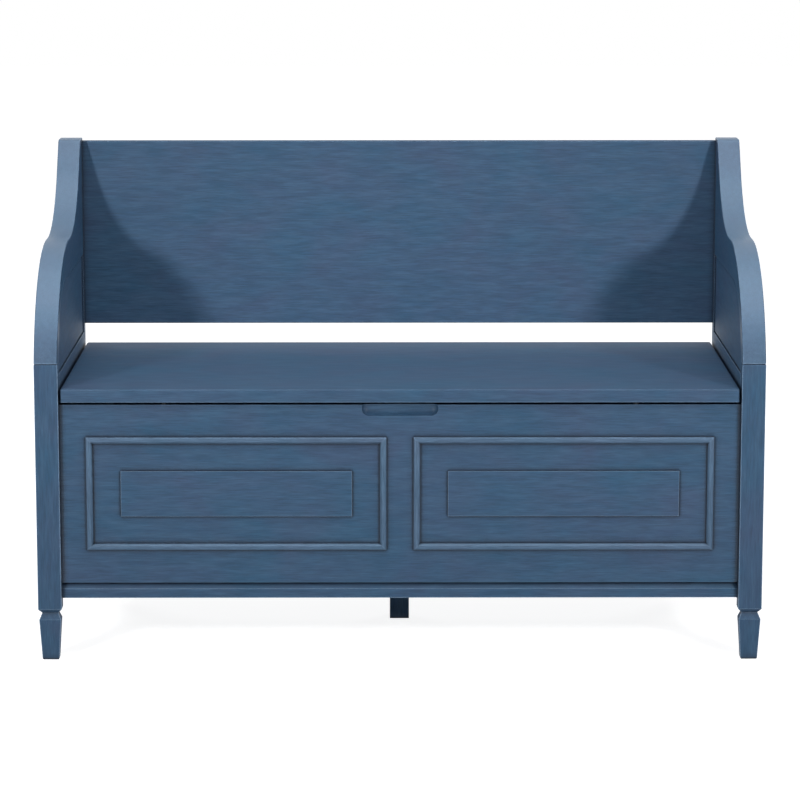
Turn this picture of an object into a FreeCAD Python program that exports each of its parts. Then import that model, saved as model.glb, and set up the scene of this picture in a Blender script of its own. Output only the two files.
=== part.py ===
import math
import os
import re

import FreeCAD
import Part
import Sketcher

# Settle bench with a storage box under a hinged seat
# X runs to the right, Y to the back and Z up, in millimetres.
# The origin is on the floor, under the middle of the bench.

# Driving dimensions; a setback is measured from the front plane of the legs and a rise from the seat
sizes = {
    "overall_width": 1080,
    "overall_depth": 460,
    "leg_width": 35,
    "leg_depth": 25,
    "foot_height": 62,
    "neck_taper_height": 10,
    "neck_shoulder_height": 6,
    "foot_bottom_inset": 5,
    "foot_top_inset": 1.3,
    "neck_inset": 5.6,
    "sole_height": 2,
    "sole_inset": 1.2,
    "joint_ease": 2.5,
    "seat_height": 411,
    "front_leg_rise": 38,
    "rear_post_rise": 143,
    "arm_rest_rise": 197,
    "arm_front_radius": 212,
    "arm_sweep_setback": 229,
    "arm_sweep_margin": 31,
    "arm_sweep_slope": 55.5,
    "arm_top_radius": 10,
    "arm_under_radius": 130,
    "arm_edge_ease": 1.5,
    "backrest_gap": 32,
    "backrest_height": 293,
    "arm_crest_rise": 4,
    "lid_thickness": 20,
    "lid_gap": 4.5,
    "lid_side_gap": 3,
    "lid_front_setback": 1.5,
    "lid_rear_inset": 7,
    "lid_corner_radius": 3,
    "lid_top_ease": 2.5,
    "lid_under_ease": 1,
    "board_thickness": 15,
    "board_ease": 1.5,
    "panel_setback": 10,
    "front_rail_bottom": 93.5,
    "front_rail_top": 117,
    "rail_bevel_depth": 7,
    "rail_bevel_height": 9.5,
    "pull_width": 114,
    "pull_height": 17,
    "pull_depth": 8,
    "pull_radius": 12,
    "frame_half_gap": 20,
    "frame_side_margin": 39,
    "frame_bottom_margin": 50,
    "frame_top_margin": 48.5,
    "bead_width": 10,
    "bead_height": 6,
    "bead_round": 4,
    "plaque_margin": 51,
    "plaque_raise": 3,
    "plaque_ease": 0.8,
    "side_recess": 15,
    "side_panel_thickness": 12,
    "field_recess": 2,
    "field_gap": 1.5,
    "groove_depth": 6,
    "groove_fit": 0.3,
    "rail_inset": 3,
    "seat_rail_rise": 19,
    "seat_rail_height": 70,
    "base_rail_height": 40,
    "lean_gap": 4,
    "batten_depth": 26,
    "floor_thickness": 12,
    "ledger_width": 15,
    "ledger_height": 20,
    "centre_leg_width": 30,
    "centre_leg_setback": 264,
    "cleat_width": 18,
    "cleat_height": 20,
    "bumper_radius": 4,
    "bumper_reach": 140,
    "hinge_inset": 155,
    "hinge_length": 60,
    "knuckle_gap": 0.4,
    "leaf_width": 30,
    "leaf_thickness": 2,
    "leaf_relief": 5,
    "pivot_offset": 4.5,
    "knuckle_radius": 4,
    "pin_radius": 2,
    "pin_fit": 0.05,
    "pin_head_radius": 3,
    "pin_head_height": 1.5,
    "bore_overrun": 1,
    "hinge_screw_pitch": 20,
    "hinge_screw_radius": 1.75,
    "hinge_screw_head": 3.5,
    "hinge_screw_length": 12,
    "cleat_screw_pitch": 150,
    "cleat_screw_radius": 2,
    "cleat_screw_head": 4,
    "cleat_screw_length": 30,
    "screw_head_height": 1.8,
    "screw_slot_width": 0.8,
    "screw_slot_depth": 0.7,
    "screw_fit": 0.05,
    "dowel_radius": 4,
    "dowel_fit": 0.05,
    "dowel_depth": 12,
    "board_dowel_depth": 18,
    "arm_dowel_depth": 15,
    "dowel_end_gap": 0.3,
    "dowel_margin": 33,
    "rail_dowel_inset": 12,
    "rail_dowel_line": 20,
    "base_dowel_inset": 8,
    "front_rail_dowel_height": 7,
    "front_rail_dowel_setback": 8.5,
    "post_dowel_drop": 39,
    "arm_dowel_rise": 46,
}

doc = FreeCAD.newDocument("SettleBench")
sheet = doc.addObject("Spreadsheet::Sheet", "Dims")
for row, (alias, value) in enumerate(sizes.items(), start=1):
    sheet.set(f"A{row}", alias)
    sheet.set(f"B{row}", str(value))
    sheet.setAlias(f"B{row}", alias)
doc.recompute()

V = FreeCAD.Vector
KNUCKLES = 5
nodes = {}

# Places that several pieces share, as formulas of the driving dimensions
FRONT = "(-overall_depth / 2)"
REAR = "(overall_depth / 2)"
OUTSIDE = "(overall_width / 2)"
INSIDE = "(overall_width / 2 - leg_width)"
PANEL_INSIDE = f"({INSIDE} + side_recess)"
PANEL_FRONT = f"({FRONT} + panel_setback)"
PANEL_BACK = f"({PANEL_FRONT} + board_thickness)"
LEG_BACK = f"({FRONT} + leg_depth)"
POST_FRONT = f"({REAR} - leg_depth)"
NECK = "(foot_height + neck_taper_height)"
SHAFT_BOTTOM = f"({NECK} + neck_shoulder_height)"
FRONT_LEG_TOP = "(seat_height + front_leg_rise)"
POST_TOP = "(seat_height + rear_post_rise)"
ARM_REST = "(seat_height + arm_rest_rise)"
ARM_SWEEP_RADIUS = "(overall_depth - arm_sweep_setback - arm_sweep_margin)"
LID_UNDER = "(seat_height - lid_thickness)"
BOX_TOP = f"({LID_UNDER} - lid_gap)"
BACKREST_FRONT = f"({REAR} - board_thickness)"
BACKREST_BOTTOM = "(seat_height + backrest_gap)"
BACKREST_TOP = f"({BACKREST_BOTTOM} + backrest_height)"
ARM_TOP = f"({BACKREST_TOP} + arm_crest_rise)"
PIVOT_Y = f"({BACKREST_FRONT} - lean_gap - lid_thickness - pivot_offset)"
PIVOT_Z = f"({LID_UNDER} - pivot_offset)"
HINGE_X = f"({INSIDE} - hinge_inset)"
BOX_BACK = f"({PIVOT_Y} - pivot_offset)"
BOX_BACK_FACE = f"({BOX_BACK} - board_thickness)"
BOX_MIDDLE = f"(({PANEL_BACK} + {BOX_BACK_FACE}) / 2)"
SEAT_RAIL_TOP = "(seat_height + seat_rail_rise)"
SEAT_RAIL_BOTTOM = f"({SEAT_RAIL_TOP} - seat_rail_height)"
BASE_RAIL_TOP = "(front_rail_bottom + base_rail_height)"
LEDGER_BOTTOM = "front_rail_bottom"
FLOOR_UNDER = f"({LEDGER_BOTTOM} + ledger_height)"
FLOOR_TOP = f"({FLOOR_UNDER} + floor_thickness)"
FRAME_EDGE = f"({INSIDE} - frame_side_margin)"
FRAME_WIDTH = f"({FRAME_EDGE} - frame_half_gap)"
FRAME_BOTTOM = "(front_rail_top + frame_bottom_margin)"
FRAME_HEIGHT = f"({BOX_TOP} - frame_top_margin - {FRAME_BOTTOM})"


def bound(formula):
    """Formula with each driving dimension pointed at its cell."""
    def cell(word):
        return "Dims." + word.group() if word.group() in sizes else word.group()
    return re.sub(r"[a-z][a-z_]+", cell, str(formula))


def bind(piece, setting, formula):
    piece.setExpression(setting, bound(formula))


def place(piece, base):
    for axis, formula in zip("xyz", base):
        bind(piece, f"Placement.Base.{axis}", formula)


def finish(name, piece):
    """Registers a sub-part under the name of its file."""
    piece.Label = name
    nodes[name] = piece
    return piece


# Part primitives and cuts


def block(name, low, high):
    """Square-edged block between two corners."""
    piece = doc.addObject("Part::Box", name)
    for setting, low_end, high_end in zip(("Length", "Width", "Height"), low, high):
        bind(piece, setting, f"({high_end}) - ({low_end})")
    place(piece, low)
    return piece


AIM = {
    "+X": FreeCAD.Rotation(V(0, 1, 0), 90),
    "-X": FreeCAD.Rotation(V(0, 1, 0), -90),
    "+Y": FreeCAD.Rotation(V(1, 0, 0), -90),
    "-Y": FreeCAD.Rotation(V(1, 0, 0), 90),
    "+Z": FreeCAD.Rotation(V(0, 0, 1), 0),
}


def rod(name, radius, length, base, aim):
    """Round rod that starts at base and runs the way aim says."""
    piece = doc.addObject("Part::Cylinder", name)
    bind(piece, "Radius", radius)
    bind(piece, "Height", length)
    piece.Placement = FreeCAD.Placement(V(), AIM[aim])
    place(piece, base)
    return piece


def fused(name, pieces):
    union = doc.addObject("Part::MultiFuse", name)
    union.Shapes = pieces
    union.Refine = True
    return union


def grouped(name, pieces):
    """Separate solids kept side by side in one node."""
    group = doc.addObject("Part::Compound", name)
    group.Links = pieces
    return group


def cut(name, piece, tools):
    """Piece with every tool's space taken out of it."""
    result = doc.addObject("Part::Cut", name)
    result.Base = piece
    result.Tool = tools[0] if len(tools) == 1 else grouped(name + "_tools", tools)
    return result


# Bodies made from sketches


def origin_plane(body, role):
    return next(item for item in body.Origin.OriginFeatures if item.Role == role)


def sketch_on(body, role):
    sketch = body.newObject("Sketcher::SketchObject", body.Name + "_sketch")
    sketch.AttachmentSupport = (origin_plane(body, role), [""])
    sketch.MapMode = "FlatFace"
    return sketch


def dimension(sketch, kind, *where, formula, near):
    """Dimension of a sketch, bound to the sheet, with its rough value to start from."""
    number = sketch.addConstraint(Sketcher.Constraint(kind, *where, near))
    bind(sketch, f"Constraints[{number}]", formula)


def pinned_outline(sketch, corners):
    """Closed outline of straight lines, each corner dimensioned from the origin."""
    spread = 100
    turn = 2 * math.pi / len(corners)
    near = [V(spread * math.cos(turn * i), spread * math.sin(turn * i)) for i in range(len(corners))]
    for i in range(len(corners)):
        sketch.addGeometry(Part.LineSegment(near[i], near[(i + 1) % len(corners)]), False)
    for i in range(len(corners)):
        sketch.addConstraint(Sketcher.Constraint("Coincident", i, 2, (i + 1) % len(corners), 1))
    for i, (across, up) in enumerate(corners):
        dimension(sketch, "DistanceX", -1, 1, i, 1, formula=across, near=near[i].x)
        dimension(sketch, "DistanceY", -1, 1, i, 1, formula=up, near=near[i].y)


def padded(body, sketch, length, flip=False):
    pad = body.newObject("PartDesign::Pad", body.Name + "_pad")
    pad.Profile = sketch
    pad.Reversed = flip
    bind(pad, "Length", length)
    doc.recompute()
    return pad


def edges_where(shape, test):
    return [f"Edge{i}" for i, edge in enumerate(shape.Edges, start=1) if test(edge)]


def eased(body, radius, test):
    """Rounds the edges of the body that pass the test."""
    base = body.Tip
    fillet = body.newObject("PartDesign::Fillet", body.Name + "_ease")
    fillet.Base = (base, edges_where(base.Shape, test))
    bind(fillet, "Radius", radius)
    body.Tip = fillet
    doc.recompute()
    return fillet


def runs_along(edge, axis):
    """True for a straight edge parallel to the axis."""
    if len(edge.Vertexes) < 2:
        return False
    ends = edge.Vertexes[1].Point - edge.Vertexes[0].Point
    return abs(ends.getAngle(axis) % math.pi) < 1e-6 or abs(ends.getAngle(axis) - math.pi) < 1e-6


def lies_at(edge, axis, level):
    """True for an edge that lies wholly in the plane at that level along the axis."""
    box = edge.BoundBox
    low, high = {"x": (box.XMin, box.XMax), "y": (box.YMin, box.YMax), "z": (box.ZMin, box.ZMax)}[axis]
    return abs(low - level) < 1e-4 and abs(high - level) < 1e-4


def board_body(name, width, height, thickness, base):
    """Upright board that faces the front, from its low left corner."""
    body = doc.addObject("PartDesign::Body", name)
    sketch = sketch_on(body, "XZ_Plane")
    pinned_outline(sketch, [("0", "0"), (width, "0"), (width, height), ("0", height)])
    padded(body, sketch, thickness, flip=True)
    place(body, base)
    return body


# Dowels and screws: each makes its own solid and the hole that it needs


def dowel(name, middle, axis, into, out_of):
    """Dowel across a joint face, reaching 'into' one piece and 'out_of' back into the other."""
    along = "XYZ".index(axis)
    start = list(middle)
    start[along] = f"{middle[along]} - {out_of}"
    peg = rod(name, "dowel_radius", f"{into} + {out_of}", start, "+" + axis)
    start[along] = f"{middle[along]} - {out_of} - dowel_end_gap"
    hole = rod(name + "_hole", "dowel_radius + dowel_fit", f"{into} + {out_of} + 2 * dowel_end_gap",
               start, "+" + axis)
    return peg, hole


def shifted(base, aim, distance):
    """Base moved along the aim by a distance given as a formula."""
    moved = list(base)
    along = "XYZ".index(aim[1])
    moved[along] = f"{base[along]} {aim[0]} ({distance})"
    return moved


def screw_form(name, radius, head, length, fit, base, aim):
    cone = doc.addObject("Part::Cone", name + "_head")
    bind(cone, "Radius1", f"{head} + {fit}")
    bind(cone, "Radius2", f"{radius} + {fit}")
    bind(cone, "Height", "screw_head_height")
    cone.Placement = FreeCAD.Placement(V(), AIM[aim])
    place(cone, base)
    shank = rod(name + "_shank", f"{radius} + {fit}", f"{length} - screw_head_height + {fit}",
                shifted(base, aim, "screw_head_height"), aim)
    return fused(name, [cone, shank])


def screw(name, radius, head, length, base, aim):
    """Countersunk slotted screw whose head lies flush at base, and its hole."""
    blank = screw_form(name + "_blank", radius, head, length, "0", base, aim)
    slot = doc.addObject("Part::Box", name + "_slot")
    bind(slot, "Length", "screw_slot_width")
    bind(slot, "Width", f"2 * {head}")
    bind(slot, "Height", "screw_slot_depth")
    slot.Placement = FreeCAD.Placement(V(), AIM[aim])
    # The slot starts half a slot and one head radius aside from the screw's axis
    wide = AIM[aim].multVec(V(1, 0, 0))
    long = AIM[aim].multVec(V(0, 1, 0))
    place(slot, [f"{base[i]} - ({round(wide[i])}) * screw_slot_width / 2 - ({round(long[i])}) * {head}"
                 for i in range(3)])
    hole = screw_form(name + "_hole", radius, head, length, "screw_fit", base, aim)
    return cut(name, blank, [slot]), hole


# Legs and posts


def frustum(name, low_inset, high_inset, low, high, corner):
    """Square-sided tapering length of a leg, inset from the leg's faces at its two ends."""
    piece = doc.addObject("Part::Wedge", name)
    for end, inset in (("", low_inset), ("2", high_inset)):
        bind(piece, f"X{end}min", inset)
        bind(piece, f"X{end}max", f"leg_width - {inset}")
        bind(piece, f"Z{end}min", f"-(leg_depth - {inset})")
        bind(piece, f"Z{end}max", f"-{inset}")
    bind(piece, "Ymin", "0")
    bind(piece, "Ymax", f"({high}) - ({low})")
    piece.Placement = FreeCAD.Placement(V(), FreeCAD.Rotation(V(1, 0, 0), 90))
    place(piece, (corner[0], corner[1], low))
    return piece


def leg(name, height, corner, tools):
    """Square leg with a notched neck and a tapered foot; corner is its low left front edge."""
    body = doc.addObject("PartDesign::Body", name + "_shaft")
    sketch = sketch_on(body, "XY_Plane")
    pinned_outline(sketch, [("0", "0"), ("leg_width", "0"), ("leg_width", "leg_depth"), ("0", "leg_depth")])
    shaft = padded(body, sketch, f"{height} - {SHAFT_BOTTOM}")
    top = shaft.Shape.BoundBox.ZMax
    eased(body, "joint_ease", lambda edge: lies_at(edge, "z", top))
    place(body, (corner[0], corner[1], SHAFT_BOTTOM))
    lengths = [
        frustum(name + "_sole", "(foot_bottom_inset + sole_inset)", "foot_bottom_inset",
                "0", "sole_height", corner),
        frustum(name + "_foot", "foot_bottom_inset", "foot_top_inset", "sole_height", "foot_height", corner),
        frustum(name + "_neck_low", "foot_top_inset", "neck_inset", "foot_height", NECK, corner),
        frustum(name + "_neck_high", "neck_inset", "0", NECK, SHAFT_BOTTOM, corner),
    ]
    blank = fused(name + "_blank", lengths + [body])
    finish(name, cut(name, blank, tools))


# Side frames: arm, rails and the panels held in their grooves


def opening_body(name, reach, base, thickness="side_panel_thickness"):
    """Field under the arm, grown past its edges by reach; also the panel that fills it."""
    body = doc.addObject("PartDesign::Body", name)
    sketch = sketch_on(body, "YZ_Plane")
    radius = sizes["arm_under_radius"]
    seat = sizes["seat_height"]
    joint = seat + sizes["front_leg_rise"]
    top = seat + sizes["rear_post_rise"]
    low = seat + sizes["seat_rail_rise"]
    front = sizes["leg_depth"]
    back = sizes["overall_depth"] - sizes["leg_depth"]
    centre = V(front + math.sqrt(radius ** 2 - (radius - top + joint) ** 2), top - radius)
    start = math.atan2(joint - centre.y, front - centre.x)
    sketch.addGeometry(Part.LineSegment(V(front, low), V(front, joint)), False)
    circle = Part.Circle(centre, V(0, 0, 1), radius)
    sketch.addGeometry(Part.ArcOfCircle(circle, math.pi / 2, start), False)
    sketch.addGeometry(Part.LineSegment(V(centre.x, top), V(back, top)), False)
    sketch.addGeometry(Part.LineSegment(V(back, top), V(back, low)), False)
    sketch.addGeometry(Part.LineSegment(V(back, low), V(front, low)), False)
    for rule in (("Coincident", 0, 2, 1, 2), ("Tangent", 1, 1, 2, 1), ("Coincident", 2, 2, 3, 1),
                 ("Coincident", 3, 2, 4, 1), ("Coincident", 4, 2, 0, 1), ("Vertical", 0),
                 ("Horizontal", 2), ("Vertical", 3), ("Horizontal", 4)):
        sketch.addConstraint(Sketcher.Constraint(*rule))
    dimension(sketch, "DistanceX", -1, 1, 0, 1, formula=f"leg_depth - {reach}", near=front)
    dimension(sketch, "DistanceY", -1, 1, 0, 1, formula=f"{SEAT_RAIL_TOP} - {reach}", near=low)
    dimension(sketch, "DistanceY", -1, 1, 0, 2, formula=FRONT_LEG_TOP, near=joint)
    dimension(sketch, "Radius", 1, formula=f"arm_under_radius + {reach}", near=radius)
    dimension(sketch, "DistanceY", -1, 1, 2, 2, formula=f"{POST_TOP} + {reach}", near=top)
    dimension(sketch, "DistanceX", -1, 1, 2, 2, formula=f"overall_depth - leg_depth + {reach}", near=back)
    padded(body, sketch, thickness)
    place(body, base)
    return body


def arm_blank(name, base):
    """Arm sawn from one wide board: rounded front, flat rest, sweep up to the backrest's top."""
    body = doc.addObject("PartDesign::Body", name)
    sketch = sketch_on(body, "YZ_Plane")
    seat = sizes["seat_height"]
    joint = seat + sizes["front_leg_rise"]
    rest = seat + sizes["arm_rest_rise"]
    post = seat + sizes["rear_post_rise"]
    top = seat + sizes["backrest_gap"] + sizes["backrest_height"] + sizes["arm_crest_rise"]
    back = sizes["overall_depth"]
    leg_back = sizes["leg_depth"]
    front_radius = sizes["arm_front_radius"]
    sweep_start = sizes["arm_sweep_setback"]
    sweep_radius = back - sweep_start - sizes["arm_sweep_margin"]
    top_radius = sizes["arm_top_radius"]
    under_radius = sizes["arm_under_radius"]
    slope = math.radians(sizes["arm_sweep_slope"])
    front_centre = V(math.sqrt(front_radius ** 2 - (front_radius - rest + joint) ** 2), rest - front_radius)
    front_angle = math.atan2(joint - front_centre.y, -front_centre.x)
    sweep_centre = V(sweep_start, rest + sweep_radius)
    sweep_end = sweep_centre + V(sweep_radius * math.sin(slope), -sweep_radius * math.cos(slope))
    rise = top - top_radius + top_radius * math.cos(slope) - sweep_end.y
    crest = sweep_end + V(rise / math.tan(slope), rise)
    top_centre = crest + V(top_radius * math.sin(slope), -top_radius * math.cos(slope))
    under_centre = V(leg_back + math.sqrt(under_radius ** 2 - (under_radius - post + joint) ** 2),
                     post - under_radius)
    under_angle = math.atan2(joint - under_centre.y, leg_back - under_centre.x)
    up = V(0, 0, 1)
    outline = [
        Part.ArcOfCircle(Part.Circle(front_centre, up, front_radius), math.pi / 2, front_angle),
        Part.LineSegment(V(front_centre.x, rest), V(sweep_start, rest)),
        Part.ArcOfCircle(Part.Circle(sweep_centre, up, sweep_radius), -math.pi / 2, slope - math.pi / 2),
        Part.LineSegment(sweep_end, crest),
        Part.ArcOfCircle(Part.Circle(top_centre, up, top_radius), math.pi / 2, slope + math.pi / 2),
        Part.LineSegment(V(top_centre.x, top), V(back, top)),
        Part.LineSegment(V(back, top), V(back, post)),
        Part.LineSegment(V(back, post), V(under_centre.x, post)),
        Part.ArcOfCircle(Part.Circle(under_centre, up, under_radius), math.pi / 2, under_angle),
        Part.LineSegment(V(leg_back, joint), V(0, joint)),
    ]
    for item in outline:
        sketch.addGeometry(item, False)
    for rule in (("Tangent", 0, 1, 1, 1), ("Tangent", 1, 2, 2, 1), ("Tangent", 2, 2, 3, 1),
                 ("Tangent", 3, 2, 4, 2), ("Tangent", 4, 1, 5, 1), ("Coincident", 5, 2, 6, 1),
                 ("Coincident", 6, 2, 7, 1), ("Tangent", 7, 2, 8, 1), ("Coincident", 8, 2, 9, 1),
                 ("Coincident", 9, 2, 0, 2), ("Horizontal", 1), ("Horizontal", 5), ("Vertical", 6),
                 ("Horizontal", 7), ("Horizontal", 9), ("PointOnObject", 9, 2, -2)):
        sketch.addConstraint(Sketcher.Constraint(*rule))
    dimension(sketch, "DistanceY", -1, 1, 9, 2, formula=FRONT_LEG_TOP, near=joint)
    dimension(sketch, "Radius", 0, formula="arm_front_radius", near=front_radius)
    dimension(sketch, "DistanceY", -1, 1, 1, 2, formula=ARM_REST, near=rest)
    dimension(sketch, "DistanceX", -1, 1, 1, 2, formula="arm_sweep_setback", near=sweep_start)
    dimension(sketch, "Radius", 2, formula=ARM_SWEEP_RADIUS, near=sweep_radius)
    dimension(sketch, "Angle", 3, formula="arm_sweep_slope * 1 deg", near=slope)
    dimension(sketch, "Radius", 4, formula="arm_top_radius", near=top_radius)
    dimension(sketch, "DistanceY", -1, 1, 5, 2, formula=ARM_TOP, near=top)
    dimension(sketch, "DistanceX", -1, 1, 5, 2, formula="overall_depth", near=back)
    dimension(sketch, "DistanceY", -1, 1, 6, 2, formula=POST_TOP, near=post)
    dimension(sketch, "Radius", 8, formula="arm_under_radius", near=under_radius)
    dimension(sketch, "DistanceX", -1, 1, 9, 1, formula="leg_depth", near=leg_back)
    padded(body, sketch, "leg_width")

    def is_face_edge(edge):
        at_face = lies_at(edge, "x", 0) or lies_at(edge, "x", sizes["leg_width"])
        return at_face and not lies_at(edge, "z", joint)

    eased(body, "arm_edge_ease", is_face_edge)
    place(body, base)
    return body


def side_frame(hand, side, holes):
    """One end of the bench; side is -1 on the left and 1 on the right."""
    def across(inner, outer):
        return (f"(-{outer})", f"(-{inner})") if side < 0 else (inner, outer)

    leg_low, leg_high = across(INSIDE, OUTSIDE)
    rail_low, rail_high = across(INSIDE, f"({OUTSIDE} - rail_inset)")
    panel_low, panel_high = across(PANEL_INSIDE, f"({PANEL_INSIDE} + side_panel_thickness)")

    def lower_field(name, reach):
        """Field between the rails, grown past its edges by reach."""
        return block(name, (panel_low, f"{LEG_BACK} - {reach}", f"{BASE_RAIL_TOP} - {reach}"),
                     (panel_high, f"{POST_FRONT} + {reach}", f"{SEAT_RAIL_BOTTOM} + {reach}"))

    tongue = "(groove_depth - groove_fit)"
    grooves = [
        opening_body(hand + "_upper_groove", "groove_depth", (panel_low, FRONT, "0")),
        lower_field(hand + "_lower_groove", "groove_depth"),
    ]
    leg(hand + "_front_leg", FRONT_LEG_TOP, (leg_low, FRONT), grooves + holes["front_leg"])
    leg(hand + "_rear_post", POST_TOP, (leg_low, POST_FRONT), grooves + holes["rear_post"])
    arm = arm_blank(hand + "_arm_blank", (leg_low, FRONT, "0"))
    finish(hand + "_arm", cut(hand + "_arm", arm, grooves[:1] + holes["arm"]))
    rail = block(hand + "_seat_rail_blank", (rail_low, LEG_BACK, SEAT_RAIL_BOTTOM),
                 (rail_high, POST_FRONT, SEAT_RAIL_TOP))
    finish(hand + "_seat_rail", cut(hand + "_seat_rail", rail, grooves + holes["seat_rail"]))
    rail = block(hand + "_base_rail_blank", (rail_low, LEG_BACK, "front_rail_bottom"),
                 (rail_high, POST_FRONT, BASE_RAIL_TOP))
    finish(hand + "_base_rail", cut(hand + "_base_rail", rail, grooves[1:] + holes["base_rail"]))
    tongued = opening_body(hand + "_upper_tongue", tongue, (panel_low, FRONT, "0"))
    field_base = across(f"({INSIDE} + field_recess)", f"({PANEL_INSIDE} + side_panel_thickness)")[0]
    field = opening_body(hand + "_upper_field", "(-field_gap)", (field_base, FRONT, "0"),
                         "side_panel_thickness + side_recess - field_recess")
    finish(hand + "_upper_panel", fused(hand + "_upper_panel", [tongued, field]))
    finish(hand + "_lower_panel", lower_field(hand + "_lower_panel", tongue))
    batten_low, batten_high = across(INSIDE, PANEL_INSIDE)
    finish(hand + "_corner_batten",
           block(hand + "_corner_batten", (batten_low, f"{BOX_BACK} - batten_depth", BASE_RAIL_TOP),
                 (batten_high, BOX_BACK, SEAT_RAIL_BOTTOM)))
    cleat_low, cleat_high = across(f"({INSIDE} - cleat_width)", INSIDE)
    cleat = block(hand + "_cleat_blank", (cleat_low, PANEL_BACK, f"{BOX_TOP} - cleat_height"),
                  (cleat_high, BOX_BACK_FACE, BOX_TOP))
    finish(hand + "_lid_cleat", cut(hand + "_lid_cleat", cleat, holes["cleat"]))
    ledger_low, ledger_high = across(f"({INSIDE} - ledger_width)", INSIDE)
    finish(hand + "_floor_ledger",
           block(hand + "_floor_ledger", (ledger_low, f"{PANEL_BACK} + ledger_width", LEDGER_BOTTOM),
                 (ledger_high, f"{BOX_BACK_FACE} - ledger_width", FLOOR_UNDER)))


# Front panel with its finger pull, bottom rail, bead frames and plaques


def front_panel(holes):
    """Panel with a finger pull scooped out of its top edge by a round-nosed cutter."""
    panel = block("front_panel_blank", (f"-{INSIDE}", PANEL_FRONT, "front_rail_top"),
                  (INSIDE, PANEL_BACK, BOX_TOP))
    rim = "sqrt(pull_radius ^ 2 - (pull_radius - pull_depth) ^ 2)"
    reach = f"(pull_width / 2 - {rim})"
    line = (f"{PANEL_FRONT} + pull_depth - pull_radius", f"{BOX_TOP} - pull_height + {rim}")
    cutter = [rod("pull_middle", "pull_radius", f"2 * {reach}", (f"-{reach}",) + line, "+X")]
    for hand, side in (("left", -1), ("right", 1)):
        end = doc.addObject("Part::Sphere", f"pull_{hand}_end")
        bind(end, "Radius", "pull_radius")
        place(end, (f"{side} * {reach}",) + line)
        cutter.append(end)
    finish("front_panel", cut("front_panel", panel, [fused("pull_cutter", cutter)] + holes))


def front_rail(holes):
    """Bottom rail whose top front edge is bevelled back under the panel."""
    body = doc.addObject("PartDesign::Body", "front_rail_blank")
    sketch = sketch_on(body, "YZ_Plane")
    pinned_outline(sketch, [("0", "front_rail_bottom"), ("board_thickness", "front_rail_bottom"),
                            ("board_thickness", "front_rail_top"), ("rail_bevel_depth", "front_rail_top"),
                            ("0", "front_rail_top - rail_bevel_height")])
    padded(body, sketch, f"2 * {INSIDE}")
    place(body, (f"-{INSIDE}", PANEL_FRONT, "0"))
    finish("front_rail", cut("front_rail", body, holes))


def inset_corners(width, height, inset):
    """Corners of a rectangle drawn from its low left corner, moved inwards by an inset."""
    low = inset
    right = f"{width} - {inset}"
    high = f"{height} - {inset}"
    return [(low, low), (right, low), (right, high), (low, high)]


def bead_frame(hand, left_edge):
    """Four mitred half-round mouldings round one field of the front panel."""
    outer = inset_corners(FRAME_WIDTH, FRAME_HEIGHT, "0")
    inner = inset_corners(FRAME_WIDTH, FRAME_HEIGHT, "bead_width")
    for i, place_name in enumerate(("bottom", "right", "top", "left")):
        j = (i + 1) % len(outer)
        name = f"{hand}_bead_{place_name}"
        body = doc.addObject("PartDesign::Body", name)
        sketch = sketch_on(body, "XZ_Plane")
        pinned_outline(sketch, [outer[i], outer[j], inner[j], inner[i]])
        padded(body, sketch, "bead_height")
        along = V(1, 0, 0) if i % 2 == 0 else V(0, 0, 1)

        def is_crest(edge):
            return lies_at(edge, "y", -sizes["bead_height"]) and runs_along(edge, along)

        eased(body, "bead_round", is_crest)
        place(body, (left_edge, PANEL_FRONT, FRAME_BOTTOM))
        finish(name, body)


def plaque(hand, left_edge):
    """Plain raised rectangle in the middle of a bead frame."""
    name = hand + "_plaque"
    body = doc.addObject("PartDesign::Body", name)
    sketch = sketch_on(body, "XZ_Plane")
    pinned_outline(sketch, inset_corners(FRAME_WIDTH, FRAME_HEIGHT, "plaque_margin"))
    padded(body, sketch, "plaque_raise")
    eased(body, "plaque_ease", lambda edge: lies_at(edge, "y", -sizes["plaque_raise"]))
    place(body, (left_edge, PANEL_FRONT, FRAME_BOTTOM))
    finish(name, body)


# Backrest, box back, floor and centre leg


def backrest(holes):
    body = board_body("backrest_blank", f"2 * {INSIDE}", "backrest_height", "board_thickness",
                      (f"-{INSIDE}", BACKREST_FRONT, BACKREST_BOTTOM))
    eased(body, "board_ease", lambda edge: runs_along(edge, V(1, 0, 0)))
    finish("backrest_panel", cut("backrest_panel", body, holes))


def box_back(holes):
    board = block("box_back_blank", (f"-{INSIDE}", BOX_BACK_FACE, "front_rail_bottom"),
                  (INSIDE, BOX_BACK, BOX_TOP))
    finish("box_back", cut("box_back", board, holes))


def floor_pieces():
    finish("box_floor", block("box_floor", (f"-{INSIDE}", PANEL_BACK, FLOOR_UNDER),
                              (INSIDE, BOX_BACK_FACE, FLOOR_TOP)))
    finish("front_floor_ledger", block("front_floor_ledger", (f"-{INSIDE}", PANEL_BACK, LEDGER_BOTTOM),
                                       (INSIDE, f"{PANEL_BACK} + ledger_width", FLOOR_UNDER)))
    finish("rear_floor_ledger",
           block("rear_floor_ledger", (f"-{INSIDE}", f"{BOX_BACK_FACE} - ledger_width", LEDGER_BOTTOM),
                 (INSIDE, BOX_BACK_FACE, FLOOR_UNDER)))


def centre_support(dowel_hole):
    """Bearer from front ledger to rear ledger, and the plain leg under it."""
    half = "centre_leg_width / 2"
    bearer = block("bearer_blank", (f"-{half}", f"{PANEL_BACK} + ledger_width", LEDGER_BOTTOM),
                   (half, f"{BOX_BACK_FACE} - ledger_width", FLOOR_UNDER))
    finish("floor_bearer", cut("floor_bearer", bearer, [dowel_hole]))
    post = block("centre_leg_blank", (f"-{half}", f"{FRONT} + centre_leg_setback", "0"),
                 (half, f"{FRONT} + centre_leg_setback + centre_leg_width", LEDGER_BOTTOM))
    finish("centre_leg", cut("centre_leg", post, [dowel_hole]))


# Lid and hinges


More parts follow.
